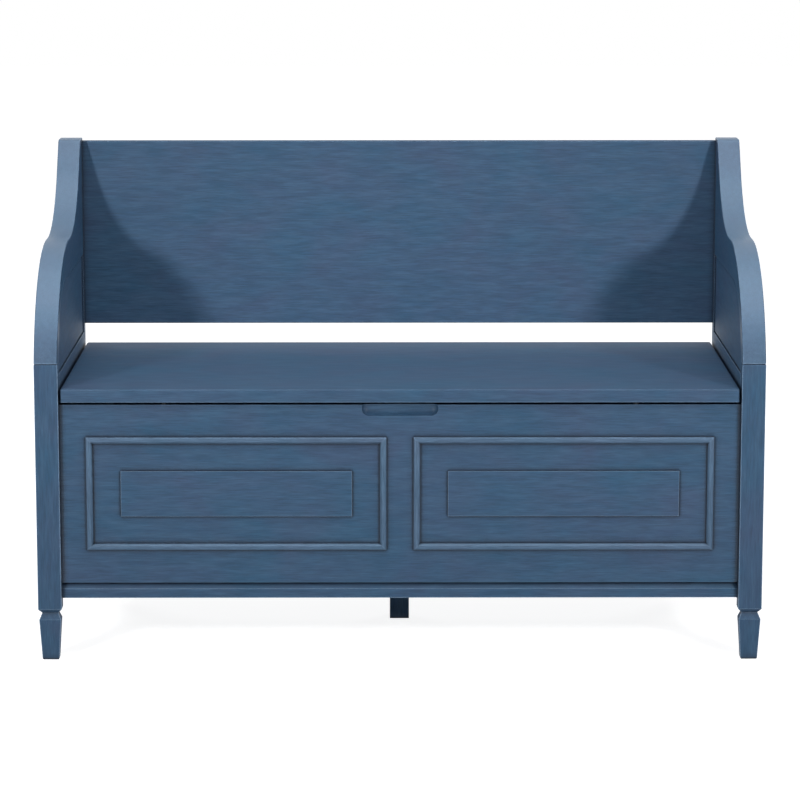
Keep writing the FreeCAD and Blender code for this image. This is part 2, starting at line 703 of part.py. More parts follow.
def lid(holes):
    body = doc.addObject("PartDesign::Body", "lid_blank")
    sketch = sketch_on(body, "XY_Plane")
    half = f"({INSIDE} - lid_side_gap)"
    depth = "(overall_depth - lid_front_setback - lid_rear_inset)"
    pinned_outline(sketch, [(f"-{half}", "0"), (half, "0"), (half, depth), (f"-{half}", depth)])
    padded(body, sketch, "lid_thickness")
    eased(body, "lid_corner_radius", lambda edge: runs_along(edge, V(0, 0, 1)))
    eased(body, "lid_top_ease", lambda edge: lies_at(edge, "z", sizes["lid_thickness"]))
    eased(body, "lid_under_ease", lambda edge: lies_at(edge, "z", 0))
    place(body, ("0", f"{FRONT} + lid_front_setback", LID_UNDER))
    finish("lid", cut("lid", body, holes))


def knuckle_span(middle, number):
    """Ends in X of one knuckle, counted from the left of the hinge."""
    left = f"{middle} - hinge_length / 2 + {number} * hinge_length / {KNUCKLES}"
    trim_left = "0" if number == 0 else "knuckle_gap / 2"
    trim_right = "0" if number == KNUCKLES - 1 else "knuckle_gap / 2"
    return f"({left} + {trim_left})", f"({left} + hinge_length / {KNUCKLES} - {trim_right})"


def hinge_leaf(name, middle, numbers, plate_low, plate_high, tab, screw_holes):
    """Leaf plate with its own knuckles; tab gives the strip that joins a knuckle to the plate."""
    parts = [block(name + "_plate", (f"{middle} - hinge_length / 2",) + plate_low,
                   (f"{middle} + hinge_length / 2",) + plate_high)]
    for number in numbers:
        left, right = knuckle_span(middle, number)
        tab_low, tab_high = tab
        parts.append(block(f"{name}_tab_{number}", (left,) + tab_low, (right,) + tab_high))
        parts.append(rod(f"{name}_knuckle_{number}", "knuckle_radius", f"{right} - {left}",
                         (left, PIVOT_Y, PIVOT_Z), "+X"))
    bore = rod(name + "_bore", "pin_radius + pin_fit", "hinge_length + 2 * bore_overrun",
               (f"{middle} - hinge_length / 2 - bore_overrun", PIVOT_Y, PIVOT_Z), "+X")
    finish(name, cut(name, fused(name + "_blank", parts), [bore] + screw_holes))


def hinge(hand, middle):
    """Butt hinge under the overhang of the lid; gives its screws and their holes."""
    mid_leaf = "(leaf_relief + leaf_width) / 2"
    box_screws, lid_screws = [], []
    for step in (-1, 0, 1):
        across = f"{middle} + {step} * hinge_screw_pitch"
        box_screws.append(screw(f"{hand}_box_screw_{step + 2}", "hinge_screw_radius", "hinge_screw_head",
                                "hinge_screw_length",
                                (across, f"{BOX_BACK} + leaf_thickness", f"{PIVOT_Z} - {mid_leaf}"), "-Y"))
        lid_screws.append(screw(f"{hand}_lid_screw_{step + 2}", "hinge_screw_radius", "hinge_screw_head",
                                "hinge_screw_length",
                                (across, f"{PIVOT_Y} + {mid_leaf}", f"{LID_UNDER} - leaf_thickness"), "+Z"))
    box_face = f"({BOX_BACK} + leaf_thickness)"
    box_tab_end = f"({PIVOT_Z} - leaf_relief)"
    hinge_leaf(hand + "_hinge_box_leaf", middle, range(0, KNUCKLES, 2),
               (BOX_BACK, f"{PIVOT_Z} - leaf_width"), (box_face, box_tab_end),
               ((BOX_BACK, box_tab_end), (box_face, PIVOT_Z)), [hole for solid, hole in box_screws])
    lid_face = f"({LID_UNDER} - leaf_thickness)"
    lid_tab_end = f"({PIVOT_Y} + leaf_relief)"
    hinge_leaf(hand + "_hinge_lid_leaf", middle, range(1, KNUCKLES, 2),
               (lid_tab_end, lid_face), (f"{PIVOT_Y} + leaf_width", LID_UNDER),
               ((PIVOT_Y, lid_face), (lid_tab_end, LID_UNDER)), [hole for solid, hole in lid_screws])
    shank_left = f"{middle} - hinge_length / 2"
    shank = rod(hand + "_pin_shank", "pin_radius", "hinge_length", (shank_left, PIVOT_Y, PIVOT_Z), "+X")
    left_head = rod(hand + "_pin_left_head", "pin_head_radius", "pin_head_height",
                    (shank_left, PIVOT_Y, PIVOT_Z), "-X")
    right_head = rod(hand + "_pin_right_head", "pin_head_radius", "pin_head_height",
                     (f"{middle} + hinge_length / 2", PIVOT_Y, PIVOT_Z), "+X")
    finish(hand + "_hinge_pin", fused(hand + "_hinge_pin", [shank, left_head, right_head]))
    return box_screws, lid_screws


def lid_bumpers():
    """Rubber buttons that the closed lid rests on: on both cleats and on the front panel."""
    cleat_line = f"({INSIDE} - cleat_width / 2)"
    spots = []
    for side in (-1, 1):
        spots.append((f"{side} * {HINGE_X}", f"({PANEL_FRONT} + board_thickness / 2)"))
        for step in (-1, 1):
            spots.append((f"{side} * {cleat_line}", f"{BOX_MIDDLE} + {step} * bumper_reach"))
    buttons = []
    for i, (across, along) in enumerate(spots, start=1):
        buttons.append(rod(f"lid_bumper_{i}", "bumper_radius", "lid_gap", (across, along, BOX_TOP), "+Z"))
    finish("lid_bumpers", grouped("lid_bumpers", buttons))


# Joinery of the whole bench, then its pieces

arm_dowels, side_dowels, front_dowels, backrest_dowels, back_dowels, cleat_screws = [], [], [], [], [], []
front_holes, rail_holes, backrest_holes, back_holes = [], [], [], []

for hand, side in (("left", -1), ("right", 1)):
    inner = f"({side} * {INSIDE})"
    line = f"({side} * ({INSIDE} + rail_dowel_line))"
    leg_middle = f"({side} * ({OUTSIDE} - leg_width / 2))"
    holes = {key: [] for key in ("front_leg", "rear_post", "arm", "seat_rail", "base_rail", "cleat")}
    into = "dowel_depth" if side > 0 else "board_dowel_depth"
    out_of = "board_dowel_depth" if side > 0 else "dowel_depth"

    def across_joint(name, depth_place, height):
        """Dowel from a board's end into the side frame."""
        return dowel(f"{hand}_{name}", (inner, depth_place, height), "X", into, out_of)

    # Arm on the front leg and on the rear post
    for key, depth_place, height in (("front_leg", f"{FRONT} + leg_depth / 2", FRONT_LEG_TOP),
                                     ("rear_post", f"{REAR} - leg_depth / 2", POST_TOP)):
        peg, hole = dowel(f"{hand}_{key}_arm_dowel", (leg_middle, depth_place, height), "Z",
                          "arm_dowel_depth", "arm_dowel_depth")
        arm_dowels.append(peg)
        holes[key].append(hole)
        holes["arm"].append(hole)
    # Rails between the front leg and the rear post
    rail_heights = {
        "base_rail": ("front_rail_bottom + base_dowel_inset",
                      f"{BASE_RAIL_TOP} - groove_depth - base_dowel_inset"),
        "seat_rail": (f"{SEAT_RAIL_BOTTOM} + groove_depth + rail_dowel_inset",
                      f"{SEAT_RAIL_TOP} - groove_depth - rail_dowel_inset"),
    }
    for rail, heights in rail_heights.items():
        for key, face in (("front_leg", LEG_BACK), ("rear_post", POST_FRONT)):
            for i, height in enumerate(heights, start=1):
                peg, hole = dowel(f"{hand}_{rail}_{key}_dowel_{i}", (line, face, height), "Y",
                                  "dowel_depth", "dowel_depth")
                side_dowels.append(peg)
                holes[rail].append(hole)
                holes[key].append(hole)
    # Front panel and bottom rail into the front leg
    panel_middle = f"{PANEL_FRONT} + board_thickness / 2"
    for i, height in enumerate(("front_rail_top + dowel_margin", f"(front_rail_top + {BOX_TOP}) / 2",
                                f"{BOX_TOP} - dowel_margin"), start=1):
        peg, hole = across_joint(f"panel_dowel_{i}", panel_middle, height)
        front_dowels.append(peg)
        front_holes.append(hole)
        holes["front_leg"].append(hole)
    peg, hole = across_joint("rail_dowel", f"{PANEL_FRONT} + front_rail_dowel_setback",
                             "front_rail_bottom + front_rail_dowel_height")
    front_dowels.append(peg)
    rail_holes.append(hole)
    holes["front_leg"].append(hole)
    # Backrest into the rear post and, higher up, into the arm
    backrest_middle = f"{BACKREST_FRONT} + board_thickness / 2"
    for i, (key, height) in enumerate((("rear_post", f"{BACKREST_BOTTOM} + dowel_margin"),
                                       ("rear_post", f"{POST_TOP} - post_dowel_drop"),
                                       ("arm", f"{POST_TOP} + arm_dowel_rise"),
                                       ("arm", f"{BACKREST_TOP} - dowel_margin")), start=1):
        peg, hole = across_joint(f"backrest_dowel_{i}", backrest_middle, height)
        backrest_dowels.append(peg)
        backrest_holes.append(hole)
        holes[key].append(hole)
    # Box back into both side rails
    back_middle = f"{BOX_BACK_FACE} + board_thickness / 2"
    for i, (key, height) in enumerate((("base_rail", "front_rail_bottom + base_rail_height / 2"),
                                       ("seat_rail", f"{BOX_TOP} - rail_dowel_inset")), start=1):
        peg, hole = across_joint(f"back_dowel_{i}", back_middle, height)
        back_dowels.append(peg)
        back_holes.append(hole)
        holes[key].append(hole)
    # Screws through the lid cleat into the seat rail
    aim = "+X" if side > 0 else "-X"
    cleat_face = f"({side} * ({INSIDE} - cleat_width))"
    cleat_line = f"{BOX_TOP} - cleat_height / 2"
    for step in (-1, 0, 1):
        along = f"{BOX_MIDDLE} + {step} * cleat_screw_pitch"
        solid, hole = screw(f"{hand}_cleat_screw_{step + 2}", "cleat_screw_radius", "cleat_screw_head",
                            "cleat_screw_length", (cleat_face, along, cleat_line), aim)
        cleat_screws.append(solid)
        holes["cleat"].append(hole)
        holes["seat_rail"].append(hole)
    side_frame(hand, side, holes)

front_panel(front_holes)
front_rail(rail_holes)
for hand, left_edge in (("left", f"-{FRAME_EDGE}"), ("right", "frame_half_gap")):
    bead_frame(hand, left_edge)
    plaque(hand, left_edge)
backrest(backrest_holes)

box_hinge_screws, lid_hinge_screws = [], []
for hand, side in (("left", -1), ("right", 1)):
    on_box, on_lid = hinge(hand, f"({side} * {HINGE_X})")
    box_hinge_screws += on_box
    lid_hinge_screws += on_lid
box_back(back_holes + [hole for solid, hole in box_hinge_screws])
lid([hole for solid, hole in lid_hinge_screws])
finish("box_hinge_screws", grouped("box_hinge_screws", [solid for solid, hole in box_hinge_screws]))
finish("lid_hinge_screws", grouped("lid_hinge_screws", [solid for solid, hole in lid_hinge_screws]))

floor_pieces()
leg_middle = ("0", f"{FRONT} + centre_leg_setback + centre_leg_width / 2", LEDGER_BOTTOM)
leg_dowel, leg_dowel_hole = dowel("centre_leg_dowel", leg_middle, "Z", "dowel_depth", "dowel_depth")
centre_support(leg_dowel_hole)
lid_bumpers()
finish("centre_leg_peg", leg_dowel)
finish("arm_dowels", grouped("arm_dowels", arm_dowels))
finish("side_rail_dowels", grouped("side_rail_dowels", side_dowels))
finish("front_dowels", grouped("front_dowels", front_dowels))
finish("backrest_dowels", grouped("backrest_dowels", backrest_dowels))
finish("box_back_dowels", grouped("box_back_dowels", back_dowels))
finish("cleat_screws", grouped("cleat_screws", cleat_screws))

doc.recompute()
for item in doc.Objects:
    if "Invalid" in item.State or "Error" in item.State:
        raise ValueError(f"{item.Name} failed: {item.State}")
for name, piece in nodes.items():
    if piece.Shape.isNull() or not piece.Shape.isValid():
        raise ValueError(f"{name} has no valid shape")

os.makedirs("parts", exist_ok=True)
for name, piece in nodes.items():
    piece.Shape.exportStep(f"parts/{name}.step")
print(len(nodes), "sub-parts")
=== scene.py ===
# %% [markdown]
# # A painted settle bench
# This notebook dresses the bench that the CAD model describes: a two-seat settle with curved arms,
# a plain backrest and a lid over a storage box. The CAD pieces arrive as finished meshes in metres.
# They could be modelled again by hand, but then the looks and the mechanism would drift apart, so
# every piece is kept as it is and only gets softened edges and a proper finish.

# %% Load the bench
import math
import bpy
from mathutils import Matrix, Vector

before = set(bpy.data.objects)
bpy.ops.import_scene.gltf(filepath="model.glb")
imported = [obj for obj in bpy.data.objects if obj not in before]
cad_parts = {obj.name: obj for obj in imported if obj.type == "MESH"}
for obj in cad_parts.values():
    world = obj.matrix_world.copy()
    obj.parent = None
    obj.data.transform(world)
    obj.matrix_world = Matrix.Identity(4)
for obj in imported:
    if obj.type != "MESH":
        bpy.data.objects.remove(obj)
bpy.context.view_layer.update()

# %% [markdown]
# ## Colours and nodes
# Paint is matched on a screen, in sRGB, while the shader computes in linear light. One
# function turns a hex colour into linear numbers, so every colour below can be read as it looks.
# A second one adds a node, fills in its settings and connects its inputs, and a third one opens
# an empty material for them. Node groups would also work, but plain calls keep each recipe
# readable from top to bottom.


# %% Three small helpers
def linear(hex_colour):
    """Linear RGBA of an sRGB hex colour."""
    channels = [int(hex_colour[i:i + 2], 16) / 255 for i in (1, 3, 5)]
    return [c / 12.92 if c <= 0.04045 else ((c + 0.055) / 1.055) ** 2.4 for c in channels] + [1.0]


def add_node(tree, kind, settings=(), **inputs):
    """Node with its settings; an input is a number, a colour or another node's output."""
    made = tree.nodes.new(kind)
    for name, value in dict(settings).items():
        setattr(made, name, value)
    for name, value in inputs.items():
        key = int(name[1:]) if name[0] == "i" and name[1:].isdigit() else name.replace("_", " ")
        if isinstance(value, bpy.types.NodeSocket):
            tree.links.new(value, made.inputs[key])
        else:
            made.inputs[key].default_value = value
    return made


def empty_material(name):
    """Material with nothing in its node tree yet."""
    made = bpy.data.materials.new(name)
    made.use_nodes = True
    made.node_tree.nodes.clear()
    return made


print("navy glaze in linear light:", [round(c, 3) for c in linear("#46607A")])

# %% [markdown]
# ## The camera
# The photograph was taken from straight ahead, half a metre above the bench's top, through a long
# lens. A close camera with a wide lens would flare the feet and arms, so this one stands five
# metres away and looks down by ten degrees. A shifted lens would also keep the legs upright. This
# one has no shift, so they lean together a little towards the floor.

# %% Place the camera
CAMERA_PLACE = (-0.0189, -5.0085, 1.2318)
CAMERA_DOWN = 9.93
CAMERA_TURN = 0.226
LENS_MM = 147.9
FAR_CLIP = 100

lens = bpy.data.cameras.new("bench_camera")
lens.lens = LENS_MM
lens.clip_end = FAR_CLIP
camera = bpy.data.objects.new("bench_camera", lens)
bpy.context.scene.collection.objects.link(camera)
camera.location = CAMERA_PLACE
camera.rotation_euler = (math.radians(90 - CAMERA_DOWN), 0, -math.radians(CAMERA_TURN))
bpy.context.scene.camera = camera
print("camera looks down by", CAMERA_DOWN, "degrees")

# %% [markdown]
# ## The studio floor
# A bench on a white sweep hides its floor line. A curved paper backdrop is the usual way, but it
# bounces light from behind, so here the floor is a flat white sheet that glows only for the eye:
# the Light Path node tells camera and mirror rays apart from the rays that carry light. The part
# of the floor that is not glow still takes the bench's soft shadow.

# %% Lay the paper
FLOOR_HALF = 12.0
PAPER_GREY = "#C0C0C0"
GLOW_UNDER_BENCH = 0.87
GLOW_RISES_FROM, GLOW_FULL_AT = 0.7, 2.2

scene = bpy.context.scene
scene.view_settings.view_transform = "Standard"


def seen_ray(tree):
    """1 for rays that show a surface to the eye, directly or in a reflection."""
    path = add_node(tree, "ShaderNodeLightPath")
    mirror = add_node(tree, "ShaderNodeMath", {"operation": "MAXIMUM"},
                      i0=path.outputs["Is Glossy Ray"], i1=path.outputs["Is Transmission Ray"])
    return add_node(tree, "ShaderNodeMath", {"operation": "MAXIMUM"},
                    i0=path.outputs["Is Camera Ray"], i1=mirror.outputs[0]).outputs[0]


floor_mesh = bpy.data.meshes.new("studio_floor")
floor_mesh.from_pydata([(-FLOOR_HALF, -FLOOR_HALF, 0), (FLOOR_HALF, -FLOOR_HALF, 0),
                        (FLOOR_HALF, FLOOR_HALF, 0), (-FLOOR_HALF, FLOOR_HALF, 0)],
                       [], [(0, 1, 2, 3)])
floor = bpy.data.objects.new("studio_floor", floor_mesh)
scene.collection.objects.link(floor)

paper = empty_material("white_studio_paper")
tree = paper.node_tree
matte = add_node(tree, "ShaderNodeBsdfDiffuse", Color=linear(PAPER_GREY))
place = add_node(tree, "ShaderNodeTexCoord").outputs["Object"]
away = add_node(tree, "ShaderNodeVectorMath", {"operation": "LENGTH"}, i0=place).outputs["Value"]
brighter = add_node(tree, "ShaderNodeMapRange", Value=away, From_Min=GLOW_RISES_FROM,
                    From_Max=GLOW_FULL_AT, To_Min=GLOW_UNDER_BENCH, To_Max=1.0).outputs[0]
glow = add_node(tree, "ShaderNodeEmission", Strength=add_node(
    tree, "ShaderNodeMath", {"operation": "MULTIPLY"}, i0=seen_ray(tree), i1=brighter).outputs[0])
both = add_node(tree, "ShaderNodeAddShader", i0=matte.outputs[0], i1=glow.outputs[0])
add_node(tree, "ShaderNodeOutputMaterial", Surface=both.outputs[0])
floor_mesh.materials.append(paper)
print("paper floor:", 2 * FLOOR_HALF, "m wide, glow", GLOW_UNDER_BENCH, "under the bench")

# %% [markdown]
# ## The white room
# White walls fill the shadows a little. A lit room could be built around the bench, but a plain
# white world does the same: full white where it is seen, and only a weak light where it lights.

# %% Fill the room
AMBIENT = 0.10

world = bpy.data.worlds.new("white_studio")
scene.world = world
world.use_nodes = True
tree = world.node_tree
tree.nodes.clear()
level = add_node(tree, "ShaderNodeMix", i0=seen_ray(tree), i2=AMBIENT, i3=1.0)
sky = add_node(tree, "ShaderNodeBackground", Color=linear("#FFFFFF"), Strength=level.outputs[0])
add_node(tree, "ShaderNodeOutputWorld", Surface=sky.outputs[0])
print("ambient level:", AMBIENT)

# %% [markdown]
# ## The lamps
# The arms throw two crossing curved shadows on the backrest, one from each side. That tells where
# the front lamps stood: left and right of the camera, above the arms. Bare boxes would wash the
# shadows out, so each carries a grid, the honeycomb that narrows a beam. A wide box above the
# front makes the arms' upper curves shine, and two boxes behind light the arms from outside.


# %% Five soft boxes
def soft_box(name, place, aim, width, watts, grid=180):
    """Square area lamp at a place, aimed at a point of the bench, its beam as wide as its grid."""
    lamp = bpy.data.lights.new(name, "AREA")
    lamp.shape = "SQUARE"
    lamp.size = width
    lamp.energy = watts
    lamp.spread = math.radians(grid)
    box = bpy.data.objects.new(name, lamp)
    scene.collection.objects.link(box)
    box.location = place
    way = Vector(aim) - Vector(place)
    box.rotation_euler = way.to_track_quat("-Z", "Y").to_euler()
    print(name, "stands", round(way.length, 2), "m away")


SIDES = (("left", -1), ("right", 1))
SEAT_CENTRE = (0, 0.0, 0.42)
SEAT_REAR = (0, 0.2, 0.42)

for hand, side in SIDES:
    soft_box(f"{hand}_soft_box", (1.6 * side, -2.3, 1.10), (0.30 * side, 0, 0.56),
             width=0.25, watts=5.6, grid=64)
soft_box("top_soft_box", (0, -0.5, 2.75), SEAT_CENTRE, width=2.4, watts=44)
for hand, side in SIDES:
    soft_box(f"{hand}_rear_soft_box", (2.3 * side, 2.5, 1.1), SEAT_REAR, width=0.8, watts=20)

# %% [markdown]
# ## Softened edges
# No painter leaves a sawn edge razor sharp: a few strokes of sandpaper break it, and that thin
# round is what catches light and shows where two boards meet. It could be cut into every CAD board,
# but a Bevel modifier adds it to all the square-edged pieces at once. The meshes arrive with split
# corners, so a Weld modifier closes them first. The arms and the front panel are left out: they
# bring their own rounded edges, and a second round would spoil the shading of their long curves.

# %% Break the edges of the wood
SANDED = 0.0008
SAME_CORNER = 0.00002
SHARP_EDGE = 40
WOOD = [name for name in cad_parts
        if not any(word in name for word in ("hinge", "screw", "bumper", "dowel", "peg"))]
SQUARE_EDGED = [name for name in WOOD if not name.endswith(("_arm", "front_panel"))]

for name in SQUARE_EDGED:
    piece = bpy.data.objects[name]
    weld = piece.modifiers.new("closed_corners", "WELD")
    weld.merge_threshold = SAME_CORNER
    bevel = piece.modifiers.new("sanded_edges", "BEVEL")
    bevel.width = SANDED
    bevel.segments = 2
    bevel.limit_method = "ANGLE"
    bevel.angle_limit = math.radians(SHARP_EDGE)
    bevel.harden_normals = True
print("sanded pieces:", len(SQUARE_EDGED), "of", len(WOOD))

# %% [markdown]
# ## Navy glaze on wood
# The finish is a thin navy glaze brushed over a lighter blue ground and wiped along the grain. It
# could be painted as an image, but noise stretched along the grain does the same at any size and
# needs no seams. Its sizes come from the work. A cloth in a hand leaves clouds as wide as a palm,
# about 80 mm. Tufts of a flat brush leave bands of about 7 mm. Bristles leave streaks of a few
# tenths of a millimetre: these are drawn coarser, at 1.5 mm, or the camera could not see them.

# %% Sizes and colours of the glaze
CLOUD_MM, CLOUD_LENGTH = 80.0, 1.5
BAND_MM, BAND_LENGTH = 7.0, 6
STREAK_MM, STREAK_LENGTH = 1.5, 16
GROUND = "#45627D"
TEAL_GLAZE = "#274A65"
NAVY_GLAZE = "#344762"
# painted shade: the dark colour laid into corners and joints
PAINTED_SHADE_COLOUR = "#0A1728"
# ground colour for worn edges and for the painted highlights
GROUND_FOR_WEAR_AND_HIGHLIGHT = "#88A2BC"


def stretched(tree, place, grain, width_mm, length_mm):
    """Coordinates that make noise of scale 1 as wide and as long as one brush mark."""
    scale = [1000 / width_mm] * 3
    scale["XYZ".index(grain)] = 1000 / length_mm
    return add_node(tree, "ShaderNodeMapping", {"vector_type": "POINT"},
                    Vector=place, Scale=scale).outputs[0]


print("one streak:", STREAK_MM, "by", STREAK_LENGTH * STREAK_MM, "mm")

# %% [markdown]
# ### Brushing and wiping
# The cloth leaves clouds from teal to navy. The brush leaves bands where the ground shines through
# and fine streaks inside them. One noise could not be broad and fine at once without looking like
# smoke, so each mark has its own noise and they are laid over each other as the painter does it.


# %% Brush and wipe
def brushed_colour(tree, place, grain):
    """Colour of the brushed glaze along X, Y or Z, and the streaks in it."""
    cloud = add_node(tree, "ShaderNodeTexNoise", Scale=1.0, Detail=5.0, Roughness=0.6, Distortion=0.4,
                     Vector=stretched(tree, place, grain, CLOUD_MM,
                                      CLOUD_LENGTH * CLOUD_MM)).outputs["Fac"]
    hue = add_node(tree, "ShaderNodeMapRange", Value=cloud, From_Min=0.30, From_Max=0.70).outputs[0]
    colour = add_node(tree, "ShaderNodeMix", {"data_type": "RGBA"}, i0=hue, i6=linear(TEAL_GLAZE),
                      i7=linear(NAVY_GLAZE)).outputs[2]
    band = add_node(tree, "ShaderNodeTexNoise", Scale=1.0, Detail=2.0, Roughness=0.5,
                    Vector=stretched(tree, place, grain, BAND_MM, BAND_LENGTH * BAND_MM)).outputs["Fac"]
    thin = add_node(tree, "ShaderNodeMapRange", Value=band, From_Min=0.35, From_Max=0.7,
                    To_Min=0.0, To_Max=0.30).outputs[0]
    colour = add_node(tree, "ShaderNodeMix", {"data_type": "RGBA"}, i0=thin, i6=colour,
                      i7=linear(GROUND)).outputs[2]
    streak = add_node(tree, "ShaderNodeTexNoise", Scale=1.0, Detail=4.0, Roughness=0.65,
                      Vector=stretched(tree, place, grain, STREAK_MM,
                                       STREAK_LENGTH * STREAK_MM)).outputs["Fac"]
    hair = add_node(tree, "ShaderNodeMapRange", Value=streak, From_Min=0.25, From_Max=0.75,
                    To_Min=0.72, To_Max=1.28).outputs[0]
    colour = add_node(tree, "ShaderNodeVectorMath", {"operation": "SCALE"}, i0=colour,
                      Scale=hair).outputs[0]
    return colour, streak


print("brushed from", TEAL_GLAZE, "to", NAVY_GLAZE, "over", GROUND)

# %% [markdown]
# ### Painted highlights on mouldings and tops
# Mouldings are lightened towards the ground's colour along the streaks, a painted highlight for
# their lit crests, and surfaces likewise by how far they face up, a painted highlight from the light
# above. Both are mixed over the brushed colour: one along the streaks, one by how far it faces up.


# %% Paint the highlights
def streak_highlight_colour(tree, colour, streak, streak_highlight_share):
    """Colour with a painted highlight of the ground's colour along the streaks, by the given share."""
    # painted highlight: the ground's colour mixed in along the streaks
    streak_highlight_mask = add_node(tree, "ShaderNodeMapRange", Value=streak, From_Min=0.3, From_Max=0.7,
                     To_Min=0.5 * streak_highlight_share, To_Max=1.5 * streak_highlight_share).outputs[0]
    return add_node(tree, "ShaderNodeMix", {"data_type": "RGBA"}, i0=streak_highlight_mask, i6=colour,
                    i7=linear(GROUND_FOR_WEAR_AND_HIGHLIGHT)).outputs[2]


def top_highlight_colour(tree, colour, normal, top_highlight_share):
    """Colour with a painted highlight of the ground's colour where the surface faces up."""
    # painted highlight: the ground's colour mixed in where the surface faces up
    upward = add_node(tree, "ShaderNodeSeparateXYZ", Vector=normal).outputs["Z"]
    top_highlight_mask = add_node(tree, "ShaderNodeMapRange", {"interpolation_type": "SMOOTHSTEP"},
                        Value=upward, From_Min=0.15, From_Max=0.70, To_Min=0.0,
                        To_Max=top_highlight_share).outputs[0]
    return add_node(tree, "ShaderNodeMix", {"data_type": "RGBA"}, i0=top_highlight_mask, i6=colour,
                    i7=linear(GROUND_FOR_WEAR_AND_HIGHLIGHT)).outputs[2]


print("rubbed ground:", GROUND_FOR_WEAR_AND_HIGHLIGHT)

# %% [markdown]
# ### Painted corner shade
# Corners and joints are darkened in the colour itself: a painted shade around them and a dark
# painted line in the joint, where shade falls. It could be drawn along each joint, but ambient
# occlusion finds every corner by itself, with a reach of 12 mm for the shade and 5 mm for the line.

# %% Paint the corner shade
SHADE_REACH = 0.012
LINE_REACH = 0.005


def painted_corner_shade(tree, colour):
    """Colour with painted shade in corners and joints, and how open the surface is at both reaches."""
    hollow = add_node(tree, "ShaderNodeAmbientOcclusion", {"samples": 4},
                      Distance=SHADE_REACH).outputs["AO"]
    crack = add_node(tree, "ShaderNodeAmbientOcclusion", {"samples": 6},
                     Distance=LINE_REACH).outputs["AO"]
    soft_shade = add_node(tree, "ShaderNodeMapRange", Value=hollow, From_Min=0.45, From_Max=0.95,
                          To_Min=0.65, To_Max=0.0).outputs[0]
    dark_line = add_node(tree, "ShaderNodeMapRange", Value=crack, From_Min=0.60, From_Max=0.97,
                         To_Min=0.95, To_Max=0.0).outputs[0]
    # painted shade: the stronger of the soft shade and the dark line darkens the colour
    painted_shade_mask = add_node(tree, "ShaderNodeMath", {"operation": "MAXIMUM"}, i0=soft_shade,
                        i1=dark_line).outputs[0]
    colour = add_node(tree, "ShaderNodeMix", {"data_type": "RGBA"}, i0=painted_shade_mask, i6=colour,
                      i7=linear(PAINTED_SHADE_COLOUR)).outputs[2]
    return colour, hollow, crack


print("shade reaches", 1000 * SHADE_REACH, "mm, line", 1000 * LINE_REACH, "mm")

# %% [markdown]
# ### Rubbed edges
# A cloth presses hardest on an edge and takes the glaze off there, over about two millimetres. A
# Bevel node rounds the normal near edges, and where it turns away from the true one, there is an
# edge. An edge mask could be painted by hand instead, but this one follows any board. Edges deep
# in a joint keep their glaze, as the cloth does not get in.

# %% Rub
EDGE_REACH = 0.0022


def rubbed_colour(tree, colour, crack, normal, rubbed_edges):
    """Colour with the ground showing on open edges, and how far each spot is rubbed."""
    rounded = add_node(tree, "ShaderNodeBevel", {"samples": 6}, Radius=EDGE_REACH).outputs[0]
    same_way = add_node(tree, "ShaderNodeVectorMath", {"operation": "DOT_PRODUCT"}, i0=rounded,
                        i1=normal).outputs["Value"]
    bare = add_node(tree, "ShaderNodeMapRange", Value=same_way, From_Min=0.995, From_Max=0.90,
                    To_Min=0.0, To_Max=rubbed_edges).outputs[0]
    open_air = add_node(tree, "ShaderNodeMath", {"operation": "POWER"}, i0=crack, i1=5.0).outputs[0]
    rubbed = add_node(tree, "ShaderNodeMath", {"operation": "MULTIPLY"}, i0=bare, i1=open_air).outputs[0]
    colour = add_node(tree, "ShaderNodeMix", {"data_type": "RGBA"}, i0=rubbed, i6=colour,
                      i7=linear(GROUND_FOR_WEAR_AND_HIGHLIGHT)).outputs[2]
    return colour, rubbed


print("edges rubbed over", 1000 * EDGE_REACH, "mm")

# %% [markdown]
# ### Gloss and brush relief
# Dry brushed glaze is satin and feels faintly ribbed. Where it pooled it dries smooth and
# glossier, and a rubbed edge is polished. One roughness for all would look like plastic. The
# paint film has the usual index of 1.5, with weakened reflections because it is chalky.

# %% Dry
POLISHED_EDGE = 0.36
FILM_IOR = 1.5
CHALKY_REFLECTION = 0.30
RIB_HEIGHT = 0.0002


def dried_glaze(tree, colour, streak, hollow, rubbed, roughness, pooled_roughness):
    """Shader of the dry glaze: satin ribs, smooth pools and polished edges."""
    brushed_gloss = add_node(tree, "ShaderNodeMapRange", Value=streak, From_Min=0.3, From_Max=0.7,
                             To_Min=roughness[0], To_Max=roughness[1]).outputs[0]
    pooled = add_node(tree, "ShaderNodeMapRange", Value=hollow, From_Min=0.92, From_Max=0.78,
                      To_Min=0.0, To_Max=1.0).outputs[0]
    pooled_gloss = add_node(tree, "ShaderNodeMix", i0=pooled, i2=brushed_gloss,
                            i3=pooled_roughness).outputs[0]
    gloss = add_node(tree, "ShaderNodeMix", i0=rubbed, i2=pooled_gloss, i3=POLISHED_EDGE).outputs[0]
    ribs = add_node(tree, "ShaderNodeMapRange", Value=pooled, To_Min=0.35, To_Max=0.02).outputs[0]
    relief = add_node(tree, "ShaderNodeBump", Strength=ribs, Distance=RIB_HEIGHT,
                      Height=streak).outputs[0]
    skin = add_node(tree, "ShaderNodeBsdfPrincipled", Base_Color=colour, Roughness=gloss, IOR=FILM_IOR,
                    Specular_IOR_Level=CHALKY_REFLECTION, Normal=relief)
    add_node(tree, "ShaderNodeOutputMaterial", Surface=skin.outputs[0])


print("ribs up to", 1000 * RIB_HEIGHT, "mm high")
